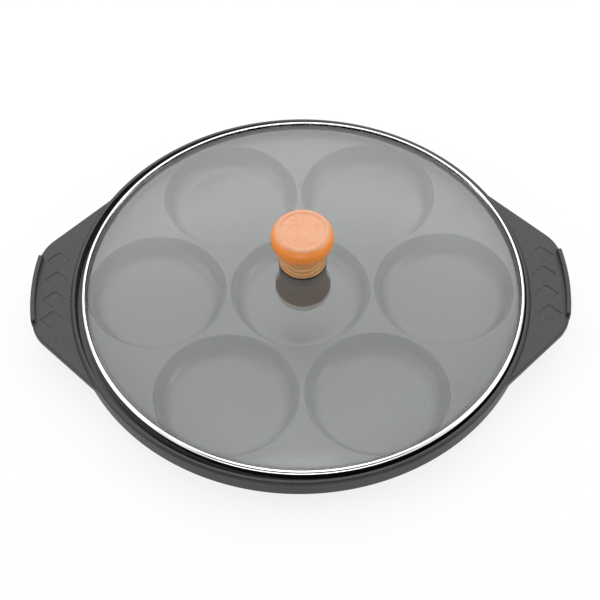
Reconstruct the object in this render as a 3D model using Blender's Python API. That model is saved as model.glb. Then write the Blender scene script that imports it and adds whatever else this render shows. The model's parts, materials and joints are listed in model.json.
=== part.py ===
"""Pancake pan: a cast pan with seven round wells and two ears, and a domed glass lid with a wooden knob.

Metres, +Z up. The origin is the centre of the base, on the surface that the pan stands on.
The ears lie along X.
"""

import math

import bmesh
import bpy
from mathutils import Matrix, Vector

MM = 0.001

# Room left between two pieces that touch
FIT_GAP = 0.3 * MM

# Wells: one in the middle and a ring of equal ones around it
RING_WELLS = 6
WELL_RADIUS = 37.5 * MM
WELL_DEPTH = 11.5 * MM
WELL_LAND = 3.1 * MM
WELL_WALL_ANGLE = math.radians(68)
WELL_FLOOR_FILLET = 9.0 * MM
WELL_MOUTH_ROUND = 1.0 * MM

# Cast plate, with the cups of the wells standing out below it
PLATE_THICKNESS = 4.5 * MM
CUP_FLOOR_THICKNESS = 4.5 * MM
CUP_WALL_THICKNESS = 3.6 * MM
CUP_EDGE_ROUND = 2.5 * MM

# Raised rim round the lid's seat
SEAT_MARGIN = 6.3 * MM
RIM_HEIGHT = 5.7 * MM
RIM_LEAN = 0.6 * MM
RIM_WIDTH = 2.5 * MM
RIM_ROUND = 1.8 * MM
SEAT_FILLET = 0.6 * MM
WALL_FOOT_ROUND = 1.0 * MM

# Ears
EAR_REACH = 21.2 * MM
EAR_THICKNESS = 4.5 * MM
EAR_DROP = 1.8 * MM
EAR_ROOT_WIDTH = 133.0 * MM
EAR_SIDE_ANGLE = math.radians(45)
EAR_END_RADIUS = 135.0 * MM
EAR_CORNER_RADIUS = 24.0 * MM
EAR_EDGE_ROUND = 1.1 * MM

# Raised lip along the end of each ear
LIP_WIDTH = 2.2 * MM
LIP_HEIGHT = 2.7 * MM
LIP_LENGTH = 45.0 * MM
LIP_PROUD = 0.3 * MM
LIP_ROUND = 0.6 * MM

# Row of sunk diamonds on each ear
DIAMONDS = 4
DIAMOND_PITCH = 13.5 * MM
DIAMOND_WIDTH = 13.2 * MM
DIAMOND_HEIGHT = 12.0 * MM
DIAMOND_DEPTH = 0.4 * MM
DIAMOND_LEAN = 0.6 * MM
DIAMOND_INSET = 12.6 * MM

# Steel band of the lid
LID_SIDE_PLAY = 1.65 * MM
LID_SHIFT = 1.45 * MM
BAND_HEIGHT = 7.8 * MM
BAND_SHEET = 0.5 * MM
BAND_FLANGE = 1.8 * MM
BAND_ROUND = 0.9 * MM
BAND_HEM_ROUND = 0.6 * MM

# Domed glass of the lid
GLASS_THICKNESS = 4.0 * MM
GLASS_RISE = 18.1 * MM
GLASS_EDGE_ROUND = 0.8 * MM
GLASS_HOLE_RADIUS = 4.0 * MM

# Turned knob
KNOB_HEIGHT = 25.2 * MM
KNOB_BASE_RADIUS = 12.4 * MM
KNOB_NECK_RADIUS = 12.1 * MM
KNOB_NECK_HEIGHT = 9.0 * MM
KNOB_HEAD_RADIUS = 16.7 * MM
KNOB_HEAD_HEIGHT = 18.4 * MM
KNOB_FACE_RADIUS = 13.4 * MM
KNOB_FACE_ROUND = 0.7 * MM
KNOB_FACE_EDGE = 2.8 * MM
KNOB_FACE_DISH = 0.4 * MM
KNOB_BASE_ROUND = 0.5 * MM
KNOB_BORE_DEPTH = 14.0 * MM
KNOB_SWELL_POWER = 1.2

# What holds the knob on the glass
SCREW_RADIUS = 2.5 * MM
SCREW_LENGTH = 20.0 * MM
SCREW_HEAD_RADIUS = 4.6 * MM
SCREW_HEAD_HEIGHT = 2.4 * MM
SCREW_HEAD_CURVE = ((0.55, 0.1), (0.88, 0.42), (1.0, 0.8))
SCREW_RECESS_LENGTH = 4.6 * MM
SCREW_RECESS_WIDTH = 1.0 * MM
SCREW_RECESS_DEPTH = 1.4 * MM
INSERT_WALL = 1.5 * MM
INSERT_LENGTH = 12.0 * MM
INSERT_BARBS = 3
INSERT_BARB_DEPTH = 0.35 * MM
INSERT_BARB_CREST = 0.4
INSERT_BARB_FOOT = 0.9
KNOB_WASHER_RADIUS = 12.9 * MM
KNOB_WASHER_THICKNESS = 0.5 * MM
GROMMET_FLANGE_RADIUS = 8.5 * MM
GROMMET_FLANGE_THICKNESS = 1.2 * MM
STEEL_WASHER_RADIUS = 7.0 * MM
STEEL_WASHER_THICKNESS = 1.0 * MM

# Colours, from black at 0 to white at 1
COAT_COLOUR = (0.024, 0.024, 0.022)
GLASS_COLOUR = (0.96, 0.98, 0.97)
STEEL_COLOUR = (0.78, 0.78, 0.77)
BEECH_COLOUR = (0.78, 0.31, 0.10)
BRASS_COLOUR = (0.72, 0.50, 0.19)
SILICONE_COLOUR = (0.012, 0.012, 0.013)

# Facets round a full turn
BODY_FACETS = 96
WELL_FACETS = 36
CUP_FACETS = 28
GLASS_FACETS = 60
BAND_FACETS = 80
KNOB_FACETS = 36
SMALL_FACETS = 20
SHARP_ANGLE = math.radians(35)

# Steps along the curves of a section or an outline
RIM_STEPS = 3
FOOT_STEPS = 2
FILLET_STEPS = 3
EAR_STEPS = 4
LIP_STEPS = 8
EDGE_STEPS = 2
DOME_STEPS = 6
DOME_UNDER_STEPS = 4
BAND_STEPS = 4
SWELL_STEPS = 6
CROWN_STEPS = 5

# Heights and radii that follow from the sizes above
PLATE_TOP = CUP_FLOOR_THICKNESS + WELL_DEPTH
PLATE_UNDER = PLATE_TOP - PLATE_THICKNESS
WELL_PITCH = 2 * WELL_RADIUS + WELL_LAND
SEAT_RADIUS = WELL_PITCH + WELL_RADIUS + SEAT_MARGIN
RIM_TOP = PLATE_TOP + RIM_HEIGHT
RIM_INNER_RADIUS = SEAT_RADIUS + RIM_LEAN
BODY_RADIUS = RIM_INNER_RADIUS + RIM_WIDTH
EAR_TOP = RIM_TOP - EAR_DROP
EAR_UNDER = EAR_TOP - EAR_THICKNESS
EAR_END = BODY_RADIUS + EAR_REACH
BAND_RADIUS = SEAT_RADIUS - LID_SIDE_PLAY
BAND_UNDER = PLATE_TOP + FIT_GAP
BAND_TOP = BAND_UNDER + BAND_HEIGHT
FLANGE_RADIUS = BAND_RADIUS - BAND_FLANGE
GLASS_RADIUS = BAND_RADIUS - BAND_SHEET - FIT_GAP
GLASS_EDGE_TOP = BAND_TOP - BAND_SHEET - FIT_GAP
DOME_RADIUS = (FLANGE_RADIUS**2 + GLASS_RISE**2) / (2 * GLASS_RISE)
DOME_CENTRE = GLASS_EDGE_TOP + GLASS_RISE - DOME_RADIUS
SCREW_BORE_RADIUS = SCREW_RADIUS + FIT_GAP
KNOB_WASHER_UNDER = DOME_CENTRE + DOME_RADIUS + FIT_GAP
KNOB_UNDER = KNOB_WASHER_UNDER + KNOB_WASHER_THICKNESS + FIT_GAP
KNOB_BORE_RADIUS = SCREW_BORE_RADIUS + INSERT_WALL + FIT_GAP
GROMMET_TOP = DOME_CENTRE + DOME_RADIUS
GROMMET_FLANGE_TOP = DOME_CENTRE + DOME_RADIUS - GLASS_THICKNESS - FIT_GAP
GROMMET_UNDER = GROMMET_FLANGE_TOP - GROMMET_FLANGE_THICKNESS
STEEL_WASHER_UNDER = GROMMET_UNDER - FIT_GAP - STEEL_WASHER_THICKNESS
SCREW_HEAD_TOP = STEEL_WASHER_UNDER - FIT_GAP


# Helpers: outlines, turned and extruded bodies, materials


def arc(centre, radius, start, end, steps):
    """Points along an arc in degrees, both ends included."""
    angles = [math.radians(start + (end - start) * i / steps) for i in range(steps + 1)]
    return [(centre[0] + radius * math.cos(a), centre[1] + radius * math.sin(a)) for a in angles]


def add_object(name, mesh, material=None, parent=None):
    mesh.shade_smooth()
    mesh.set_sharp_from_angle(angle=SHARP_ANGLE)
    obj = bpy.data.objects.new(name, mesh)
    bpy.context.scene.collection.objects.link(obj)
    if material:
        mesh.materials.append(material)
    obj.parent = parent
    return obj


def turned_mesh(name, profile, facets, closed=False):
    """A body turned round Z from (radius, height) points. A closed profile is a ring's section."""
    bm = bmesh.new()
    verts = [bm.verts.new((radius, 0, height)) for radius, height in profile]
    edges = [bm.edges.new(pair) for pair in zip(verts, verts[1:])]
    if closed:
        edges.append(bm.edges.new((verts[-1], verts[0])))
    bmesh.ops.spin(
        bm,
        geom=verts + edges,
        cent=(0, 0, 0),
        axis=(0, 0, 1),
        angle=2 * math.pi,
        steps=facets,
        use_merge=True,
    )
    bmesh.ops.remove_doubles(bm, verts=bm.verts, dist=0.001 * MM)
    bmesh.ops.recalc_face_normals(bm, faces=bm.faces)
    mesh = bpy.data.meshes.new(name)
    bm.to_mesh(mesh)
    bm.free()
    return mesh


def extruded_mesh(name, outline, under, top, edge_round=0.0, top_only=False):
    """An outline in X and Y made solid between two heights, with its long edges rounded."""
    bm = bmesh.new()
    base = bm.faces.new([bm.verts.new((x, y, under)) for x, y in outline])
    grown = bmesh.ops.extrude_face_region(bm, geom=[base])
    risen = [item for item in grown["geom"] if isinstance(item, bmesh.types.BMVert)]
    bmesh.ops.translate(bm, verts=risen, vec=(0, 0, top - under))
    bmesh.ops.recalc_face_normals(bm, faces=bm.faces)
    if edge_round:
        middle = (under + top) / 2
        rounded = [
            edge
            for edge in bm.edges
            if abs(edge.verts[0].co.z - edge.verts[1].co.z) < FIT_GAP
            and (edge.verts[0].co.z > middle or not top_only)
        ]
        bmesh.ops.bevel(
            bm,
            geom=rounded,
            offset=edge_round,
            offset_type="OFFSET",
            segments=EDGE_STEPS,
            profile=0.5,
            affect="EDGES",
            clamp_overlap=True,
        )
    mesh = bpy.data.meshes.new(name)
    bm.to_mesh(mesh)
    bm.free()
    return mesh


def add_tool_body(name, mesh, collection, location=(0, 0, 0)):
    """A body that only shapes another one by a Boolean."""
    obj = bpy.data.objects.new(name, mesh)
    obj.location = location
    obj.hide_render = True
    obj.display_type = "WIRE"
    collection.objects.link(obj)
    return obj


def add_boolean(obj, name, operation, collection):
    modifier = obj.modifiers.new(name, "BOOLEAN")
    modifier.operation = operation
    modifier.operand_type = "COLLECTION"
    modifier.collection = collection
    modifier.solver = "EXACT"


def new_collection(name):
    collection = bpy.data.collections.new(name)
    bpy.context.scene.collection.children.link(collection)
    return collection


def new_material(name, colour, roughness, metallic=0.0, transmission=0.0):
    material = bpy.data.materials.new(name)
    material.use_nodes = True
    shader = material.node_tree.nodes["Principled BSDF"]
    shader.inputs["Base Color"].default_value = (*colour, 1)
    shader.inputs["Roughness"].default_value = roughness
    shader.inputs["Metallic"].default_value = metallic
    shader.inputs["Transmission Weight"].default_value = transmission
    return material


# Pan: one casting, from a turned blank with cups and ears added, and its cavity, wells and diamonds cut out


def blank_profile():
    """Outer form of the pan, solid up to the rim's top."""
    foot = (BODY_RADIUS - WALL_FOOT_ROUND, PLATE_UNDER + WALL_FOOT_ROUND)
    rim = (BODY_RADIUS - RIM_ROUND, RIM_TOP - RIM_ROUND)
    return [
        (0, RIM_TOP),
        *reversed(arc(rim, RIM_ROUND, 0, 90, RIM_STEPS)),
        *arc(foot, WALL_FOOT_ROUND, 0, -90, FOOT_STEPS),
        (0, PLATE_UNDER),
    ]


def cavity_profile():
    """Cutter for the space above the plate, inside the rim."""
    lean = RIM_LEAN / RIM_HEIGHT
    above = RIM_HEIGHT
    return [
        (0, RIM_TOP + above),
        (RIM_INNER_RADIUS + lean * above, RIM_TOP + above),
        (SEAT_RADIUS + lean * SEAT_FILLET, PLATE_TOP + SEAT_FILLET),
        (SEAT_RADIUS - SEAT_FILLET, PLATE_TOP),
        (0, PLATE_TOP),
    ]


def well_wall(height):
    """Radius of the straight stretch of a well's wall at a height above the well's floor."""
    return WELL_RADIUS - (WELL_DEPTH - WELL_MOUTH_ROUND / 2 - height) / math.tan(WELL_WALL_ANGLE)


def well_profile():
    """Cutter for one well, from a height of 0 at its floor: rounded mouth, leaning wall, filleted floor."""
    fillet = WELL_FLOOR_FILLET
    lean = math.degrees(WELL_WALL_ANGLE)
    wall_foot = fillet * (1 - math.cos(WELL_WALL_ANGLE))
    fillet_centre = (well_wall(wall_foot) - fillet * math.sin(WELL_WALL_ANGLE), fillet)
    mouth = WELL_MOUTH_ROUND
    above = WELL_DEPTH + 4 * mouth
    return [
        (0, above),
        (WELL_RADIUS + 4 * mouth, above),
        (WELL_RADIUS + mouth / 2, WELL_DEPTH - mouth / 4),
        (well_wall(WELL_DEPTH - mouth), WELL_DEPTH - mouth),
        *arc(fillet_centre, fillet, lean - 90, -90, FILLET_STEPS),
        (0, 0),
    ]


def cup_profile():
    """Outside of one well's cup, which follows the well's wall and ends inside the plate."""
    wall = CUP_WALL_THICKNESS / math.sin(WELL_WALL_ANGLE)
    top = PLATE_TOP - PLATE_THICKNESS / 2
    edge_height = CUP_EDGE_ROUND * (1 - math.cos(WELL_WALL_ANGLE))
    edge_radius = well_wall(edge_height - CUP_FLOOR_THICKNESS) + wall
    edge_centre = (edge_radius - CUP_EDGE_ROUND * math.sin(WELL_WALL_ANGLE), CUP_EDGE_ROUND)
    return [
        (0, top),
        (well_wall(top - CUP_FLOOR_THICKNESS) + wall, top),
        *arc(edge_centre, CUP_EDGE_ROUND, math.degrees(WELL_WALL_ANGLE) - 90, -90, EDGE_STEPS),
        (0, 0),
    ]


def well_places():
    ring = [math.tau * i / RING_WELLS for i in range(RING_WELLS)]
    return [(0, 0)] + [(WELL_PITCH * math.cos(a), WELL_PITCH * math.sin(a)) for a in ring]


def ear_outline():
    """Right ear from above: bowed end, round corners, straight slanting sides that run into the body."""
    root_x = math.sqrt(BODY_RADIUS**2 - (EAR_ROOT_WIDTH / 2) ** 2)
    side_normal = Vector((math.cos(EAR_SIDE_ANGLE), math.sin(EAR_SIDE_ANGLE)))
    side_reach = side_normal.dot((root_x, EAR_ROOT_WIDTH / 2))
    end_centre = Vector((EAR_END - EAR_END_RADIUS, 0))
    inner = EAR_END_RADIUS - EAR_CORNER_RADIUS
    along = side_reach - EAR_CORNER_RADIUS - side_normal.dot(end_centre)
    across = math.sqrt(inner**2 - along**2)
    tangent = Vector((side_normal.y, -side_normal.x))
    corner = end_centre + side_normal * along + tangent * across
    spread = math.degrees(math.atan2(corner.y, corner.x - end_centre.x))
    side = math.degrees(EAR_SIDE_ANGLE)
    root = Vector((root_x, EAR_ROOT_WIDTH / 2)) - tangent * (BODY_RADIUS - SEAT_RADIUS)
    upper = [
        *arc(end_centre, EAR_END_RADIUS, 0, spread, EAR_STEPS),
        *arc(corner, EAR_CORNER_RADIUS, spread, side, EAR_STEPS)[1:],
        tuple(root),
    ]
    lower = [(x, -y) for x, y in reversed(upper[1:])]
    return lower + upper


def lip_outline():
    """Strip along the bowed end of the right ear."""
    end_centre = (EAR_END - EAR_END_RADIUS, 0)
    spread = math.degrees(math.asin(LIP_LENGTH / 2 / EAR_END_RADIUS))
    outer = arc(end_centre, EAR_END_RADIUS + LIP_PROUD, -spread, spread, LIP_STEPS)
    inner = arc(end_centre, EAR_END_RADIUS - LIP_WIDTH, spread, -spread, LIP_STEPS)
    return outer + inner


def diamond_mesh():
    """Cutter for one sunk diamond, with walls that lean in towards its flat bottom."""
    bm = bmesh.new()
    rings = []
    for height, grow in ((-DIAMOND_DEPTH, -DIAMOND_LEAN), (DIAMOND_DEPTH, DIAMOND_LEAN)):
        across = DIAMOND_WIDTH / 2 + grow
        along = DIAMOND_HEIGHT / 2 + grow
        corners = ((across, 0), (0, along), (-across, 0), (0, -along))
        rings.append([bm.verts.new((x, y, height)) for x, y in corners])
    edges = [bm.edges.new((ring[i], ring[(i + 1) % 4])) for ring in rings for i in range(4)]
    bmesh.ops.bridge_loops(bm, edges=edges)
    for ring in rings:
        bm.faces.new(ring)
    bmesh.ops.recalc_face_normals(bm, faces=bm.faces)
    mesh = bpy.data.meshes.new("diamond")
    bm.to_mesh(mesh)
    bm.free()
    return mesh


def mirrored(mesh, name):
    """A copy of a mesh on the other side of X = 0."""
    copy = mesh.copy()
    copy.name = name
    copy.transform(Matrix.Scale(-1, 4, (1, 0, 0)))
    copy.flip_normals()
    return copy


def build_pan(material):
    pan = add_object("pan", turned_mesh("pan", blank_profile(), BODY_FACETS), material)

    added = new_collection("pan_added_bodies")
    cup = turned_mesh("cup", cup_profile(), CUP_FACETS)
    ear = extruded_mesh("ear", ear_outline(), EAR_UNDER, EAR_TOP, EAR_EDGE_ROUND)
    lip_under = EAR_UNDER + EAR_THICKNESS / 3
    lip = extruded_mesh("lip", lip_outline(), lip_under, EAR_TOP + LIP_HEIGHT, LIP_ROUND, top_only=True)
    for i, (x, y) in enumerate(well_places()):
        add_tool_body(f"cup_{i}", cup, added, (x, y, 0))
    add_tool_body("ear_right", ear, added)
    add_tool_body("ear_left", mirrored(ear, "ear_left"), added)
    add_boolean(pan, "cups_and_ears", "UNION", added)

    lips = new_collection("pan_lips")
    add_tool_body("lip_right", lip, lips)
    add_tool_body("lip_left", mirrored(lip, "lip_left"), lips)
    add_boolean(pan, "lips", "UNION", lips)

    cut = new_collection("pan_cutters")
    well = turned_mesh("well", well_profile(), WELL_FACETS)
    for i, (x, y) in enumerate(well_places()):
        add_tool_body(f"well_{i}", well, cut, (x, y, CUP_FLOOR_THICKNESS))
    add_tool_body("cavity", turned_mesh("cavity", cavity_profile(), BODY_FACETS), cut)
    diamond = diamond_mesh()
    diamond_x = EAR_END - DIAMOND_INSET
    for side in (-1, 1):
        for i in range(DIAMONDS):
            y = (i - (DIAMONDS - 1) / 2) * DIAMOND_PITCH
            add_tool_body(f"diamond_{side}_{i}", diamond, cut, (side * diamond_x, y, EAR_TOP))
    add_boolean(pan, "cavity_wells_and_diamonds", "DIFFERENCE", cut)
    pan.modifiers.new("weighted_normals", "WEIGHTED_NORMAL")
    return pan


# Lid: glass in its steel band, and the knob with what holds it


def dome_height(radius, depth=0.0):
    """Height of the dome's outer face at a radius, or of the face that lies a depth inside the glass."""
    return DOME_CENTRE + math.sqrt((DOME_RADIUS - depth) ** 2 - radius**2)


def dome_points(inner, outer, steps, depth=0.0):
    radii = [inner + (outer - inner) * i / steps for i in range(steps + 1)]
    return [(radius, dome_height(radius, depth)) for radius in radii]


def build_glass(material, lid):
    edge = GLASS_RADIUS - GLASS_EDGE_ROUND
    profile = [
        *dome_points(GLASS_HOLE_RADIUS, edge, DOME_STEPS),
        (GLASS_RADIUS, dome_height(GLASS_RADIUS) - GLASS_EDGE_ROUND),
        (GLASS_RADIUS, dome_height(GLASS_RADIUS, GLASS_THICKNESS) + GLASS_EDGE_ROUND),
        *reversed(dome_points(GLASS_HOLE_RADIUS, edge, DOME_UNDER_STEPS, GLASS_THICKNESS)),
    ]
    return add_object("lid_glass", turned_mesh("lid_glass", profile, GLASS_FACETS, True), material, lid)


def build_band(material, lid):
    """Rolled steel section: flange over the glass, outer wall, and a hem that holds the glass from below."""
    inner_wall = BAND_RADIUS - BAND_SHEET
    shoulder = (BAND_RADIUS - BAND_ROUND, BAND_TOP - BAND_ROUND)
    hem = BAND_HEM_ROUND
    flange_under = BAND_TOP - BAND_SHEET
    profile = [
        (FLANGE_RADIUS, flange_under),
        (FLANGE_RADIUS, BAND_TOP),
        *reversed(arc(shoulder, BAND_ROUND, 0, 90, BAND_STEPS)),
        *arc((BAND_RADIUS - hem, BAND_UNDER + hem), hem, 0, -90, EDGE_STEPS),
        (FLANGE_RADIUS + hem, BAND_UNDER),
        (FLANGE_RADIUS, BAND_UNDER + hem),
        (FLANGE_RADIUS, dome_height(FLANGE_RADIUS, GLASS_THICKNESS) - FIT_GAP),
        (inner_wall, dome_height(inner_wall, GLASS_THICKNESS) - FIT_GAP),
        (inner_wall, flange_under - BAND_SHEET),
        (inner_wall - BAND_SHEET, flange_under),
    ]
    return add_object("lid_band", turned_mesh("lid_band", profile, BAND_FACETS, True), material, lid)


def knob_profile():
    """Half section of the knob from a height of 0 at its base, with the bore for the insert."""
    overhang = KNOB_HEAD_RADIUS - KNOB_NECK_RADIUS
    head_rise = KNOB_HEAD_HEIGHT - KNOB_NECK_HEIGHT
    swell = []
    for i in range(1, SWELL_STEPS + 1):
        t = i / SWELL_STEPS
        radius = KNOB_NECK_RADIUS + overhang * math.sin(t * math.pi / 2) ** KNOB_SWELL_POWER
        swell.append((radius, KNOB_NECK_HEIGHT + head_rise * t))
    crown_height = KNOB_HEIGHT - KNOB_FACE_ROUND / 2 - KNOB_HEAD_HEIGHT
    crown_inset = KNOB_HEAD_RADIUS - KNOB_FACE_RADIUS
    crown_radius = (crown_height**2 + crown_inset**2) / (2 * crown_inset)
    crown_centre = (KNOB_HEAD_RADIUS - crown_radius, KNOB_HEAD_HEIGHT)
    crown_end = math.degrees(math.asin(crown_height / crown_radius))
    return [
        (0, KNOB_BORE_DEPTH),
        (KNOB_BORE_RADIUS, KNOB_BORE_DEPTH),
        (KNOB_BORE_RADIUS, 0),
        (KNOB_BASE_RADIUS - KNOB_BASE_ROUND, 0),
        (KNOB_BASE_RADIUS, KNOB_BASE_ROUND),
        (KNOB_NECK_RADIUS, KNOB_NECK_HEIGHT),
        *swell,
        *arc(crown_centre, crown_radius, 0, crown_end, CROWN_STEPS)[1:],
        (KNOB_FACE_RADIUS - KNOB_FACE_ROUND, KNOB_HEIGHT),
        (KNOB_FACE_RADIUS - KNOB_FACE_EDGE, KNOB_HEIGHT - KNOB_FACE_DISH / 2),
        (0, KNOB_HEIGHT - KNOB_FACE_DISH),
    ]


def raised(profile, height):
    return [(radius, level + height) for radius, level in profile]


def build_knob(material, lid):
    profile = raised(knob_profile(), KNOB_UNDER)
    return add_object("knob", turned_mesh("knob", profile, KNOB_FACETS), material, lid)


def build_insert(material, lid):
    """Threaded brass bush in the knob's bore, with barbs that grip the wood."""
    radius = SCREW_BORE_RADIUS + INSERT_WALL
    under = KNOB_UNDER + FIT_GAP
    barb = INSERT_LENGTH / INSERT_BARBS
    outside = []
    for i in range(INSERT_BARBS):
        outside.append((radius, under + i * barb))
        outside.append((radius, under + (i + INSERT_BARB_CREST) * barb))
        outside.append((radius - INSERT_BARB_DEPTH, under + (i + INSERT_BARB_FOOT) * barb))
    profile = [
        *outside,
        (radius - INSERT_BARB_DEPTH, under + INSERT_LENGTH),
        (SCREW_BORE_RADIUS, under + INSERT_LENGTH),
        (SCREW_BORE_RADIUS, under),
    ]
    return add_object("knob_insert", turned_mesh("knob_insert", profile, SMALL_FACETS, True), material, lid)


def ring_mesh(name, inner, outer, under, top):
    profile = [(inner, under), (outer, under), (outer, top), (inner, top)]
    return turned_mesh(name, profile, SMALL_FACETS, True)


def build_knob_washer(material, lid):
    top = KNOB_WASHER_UNDER + KNOB_WASHER_THICKNESS
    mesh = ring_mesh("knob_washer", SCREW_BORE_RADIUS, KNOB_WASHER_RADIUS, KNOB_WASHER_UNDER, top)
    return add_object("knob_washer", mesh, material, lid)


def build_grommet(material, lid):
    """Soft bush: its neck lines the hole in the glass and its flange lies under the glass."""
    neck = GLASS_HOLE_RADIUS - FIT_GAP
    profile = [
        (SCREW_BORE_RADIUS, GROMMET_UNDER),
        (GROMMET_FLANGE_RADIUS, GROMMET_UNDER),
        (GROMMET_FLANGE_RADIUS, GROMMET_FLANGE_TOP),
        (neck, GROMMET_FLANGE_TOP),
        (neck, GROMMET_TOP),
        (SCREW_BORE_RADIUS, GROMMET_TOP),
    ]
    return add_object("lid_grommet", turned_mesh("lid_grommet", profile, SMALL_FACETS, True), material, lid)


def build_steel_washer(material, lid):
    top = STEEL_WASHER_UNDER + STEEL_WASHER_THICKNESS
    mesh = ring_mesh("screw_washer", SCREW_BORE_RADIUS, STEEL_WASHER_RADIUS, STEEL_WASHER_UNDER, top)
    return add_object("screw_washer", mesh, material, lid)


def build_screw(material, lid):
    """Pan-head screw, head down, with a cross recess."""
    head_edge = SCREW_HEAD_TOP - SCREW_HEAD_HEIGHT
    tip = SCREW_HEAD_TOP + SCREW_LENGTH
    chamfer = SCREW_RADIUS / 4
    profile = [
        (0, head_edge),
        *((SCREW_HEAD_RADIUS * r, head_edge + SCREW_HEAD_HEIGHT * h) for r, h in SCREW_HEAD_CURVE),
        (SCREW_HEAD_RADIUS, SCREW_HEAD_TOP),
        (SCREW_RADIUS, SCREW_HEAD_TOP),
        (SCREW_RADIUS, tip - chamfer),
        (SCREW_RADIUS - chamfer, tip),
        (0, tip),
    ]
    screw = add_object("knob_screw", turned_mesh("knob_screw", profile, SMALL_FACETS), material, lid)
    arm = SCREW_RECESS_LENGTH / 2
    half = SCREW_RECESS_WIDTH / 2
    quarter = [(half, half), (half, arm), (-half, arm)]
    cross = [
        (x * math.cos(a) - y * math.sin(a), x * math.sin(a) + y * math.cos(a))
        for a in (0, math.pi / 2, math.pi, 3 * math.pi / 2)
        for x, y in quarter
    ]
    cutters = new_collection("screw_cutters")
    below = head_edge - SCREW_RECESS_DEPTH
    cutter = extruded_mesh("cross", cross, below, head_edge + SCREW_RECESS_DEPTH)
    add_tool_body("screw_recess", cutter, cutters).parent = lid
    add_boolean(screw, "recess", "DIFFERENCE", cutters)
    return screw


def build_lid():
    lid = bpy.data.objects.new("lid", None)
    lid.location = (LID_SHIFT, 0, 0)
    bpy.context.scene.collection.objects.link(lid)
    black_silicone = new_material("black_silicone", SILICONE_COLOUR, 0.55)
    steel = new_material("polished_steel", STEEL_COLOUR, 0.14, metallic=1.0)
    build_glass(new_material("clear_glass", GLASS_COLOUR, 0.02, transmission=1.0), lid)
    build_band(steel, lid)
    build_knob(new_material("oiled_beech", BEECH_COLOUR, 0.4), lid)
    build_insert(new_material("brass", BRASS_COLOUR, 0.3, metallic=1.0), lid)
    build_knob_washer(black_silicone, lid)
    build_grommet(black_silicone, lid)
    build_steel_washer(steel, lid)
    build_screw(steel, lid)


def clear_scene():
    for obj in list(bpy.data.objects):
        bpy.data.objects.remove(obj)


clear_scene()
build_pan(new_material("coated_cast_aluminium", COAT_COLOUR, 0.45))
build_lid()
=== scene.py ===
import json
import math

import bmesh
import bpy
from mathutils import Matrix, Vector

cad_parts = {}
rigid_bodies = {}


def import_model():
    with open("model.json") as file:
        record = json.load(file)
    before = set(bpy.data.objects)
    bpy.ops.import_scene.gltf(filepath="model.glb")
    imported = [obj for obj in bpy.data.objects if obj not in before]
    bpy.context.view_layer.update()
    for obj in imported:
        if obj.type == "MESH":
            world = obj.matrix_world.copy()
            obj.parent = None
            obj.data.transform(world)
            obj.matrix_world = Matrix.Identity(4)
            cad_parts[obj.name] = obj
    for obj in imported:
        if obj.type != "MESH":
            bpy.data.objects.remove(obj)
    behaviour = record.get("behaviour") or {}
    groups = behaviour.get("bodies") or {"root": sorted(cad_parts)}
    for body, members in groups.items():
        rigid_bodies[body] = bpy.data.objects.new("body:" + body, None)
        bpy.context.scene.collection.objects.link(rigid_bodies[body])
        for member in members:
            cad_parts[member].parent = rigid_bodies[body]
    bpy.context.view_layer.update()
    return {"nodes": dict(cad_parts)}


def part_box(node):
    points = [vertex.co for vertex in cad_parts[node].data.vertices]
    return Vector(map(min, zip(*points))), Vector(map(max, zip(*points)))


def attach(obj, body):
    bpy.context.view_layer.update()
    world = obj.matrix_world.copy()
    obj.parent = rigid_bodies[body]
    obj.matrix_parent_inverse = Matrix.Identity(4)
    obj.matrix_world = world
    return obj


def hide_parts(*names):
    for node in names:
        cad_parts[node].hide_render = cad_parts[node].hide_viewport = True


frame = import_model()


# Pan
# One aluminium casting: a plate with seven shallow wells whose cups stand out below it, a raised rim, and
# two flat ears with a lip and sunk diamonds. Its dark non-stick coat is sprayed, smoother inside the rim.

MM = 0.001

RING_WELLS = 6
WELL_RADIUS = 37.5 * MM
WELL_DEPTH = 11.5 * MM
WELL_LAND = 3.1 * MM
WELL_LEAN = math.radians(68)
WELL_FILLET = 9.0 * MM
WELL_MOUTH_ROUND = 1.0 * MM
PLATE = 4.5 * MM
CUP_FLOOR = 4.5 * MM
CUP_WALL = 3.6 * MM
CUP_ROUND = 2.5 * MM
SEAT_MARGIN = 6.3 * MM
SEAT_FILLET = 0.6 * MM
RIM_HEIGHT = 5.7 * MM
RIM_LEAN = 0.6 * MM
RIM_ROUND = 1.8 * MM
RIM_INNER_ROUND = 0.25 * MM
FOOT_ROUND = 1.0 * MM
EAR_THICKNESS = 4.5 * MM
EAR_DROP = 1.8 * MM
EAR_ROOT_WIDTH = 133.0 * MM
EAR_SIDE_ANGLE = math.radians(45)
EAR_END_RADIUS = 135.0 * MM
EAR_CORNER_RADIUS = 24.0 * MM
EAR_ROUND = 1.1 * MM
LIP_WIDTH = 2.2 * MM
LIP_LENGTH = 45.0 * MM
LIP_PROUD = 0.3 * MM
LIP_ROUND = 0.6 * MM
DIAMONDS = 4
DIAMOND_PITCH = 13.5 * MM
DIAMOND_WIDTH = 13.2 * MM
DIAMOND_HEIGHT = 12.0 * MM
DIAMOND_DEPTH = 0.4 * MM
DIAMOND_LEAN = 0.6 * MM
DIAMOND_INSET = 12.6 * MM
BODY_FACETS = 240
WELL_FACETS = 120
CUP_FACETS = 96

# Steps along the curves of the sections and outlines
MOUTH_STEPS = 5
FILLET_STEPS = 16
CUP_STEPS = 6
RIM_STEPS = 8
RIM_INNER_STEPS = 4
SEAT_STEPS = 5
FOOT_STEPS = 5
EAR_END_STEPS = 14
EAR_CORNER_STEPS = 12
EAR_ROUND_STEPS = 5
LIP_STEPS = 24
LIP_ROUND_STEPS = 4

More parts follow.
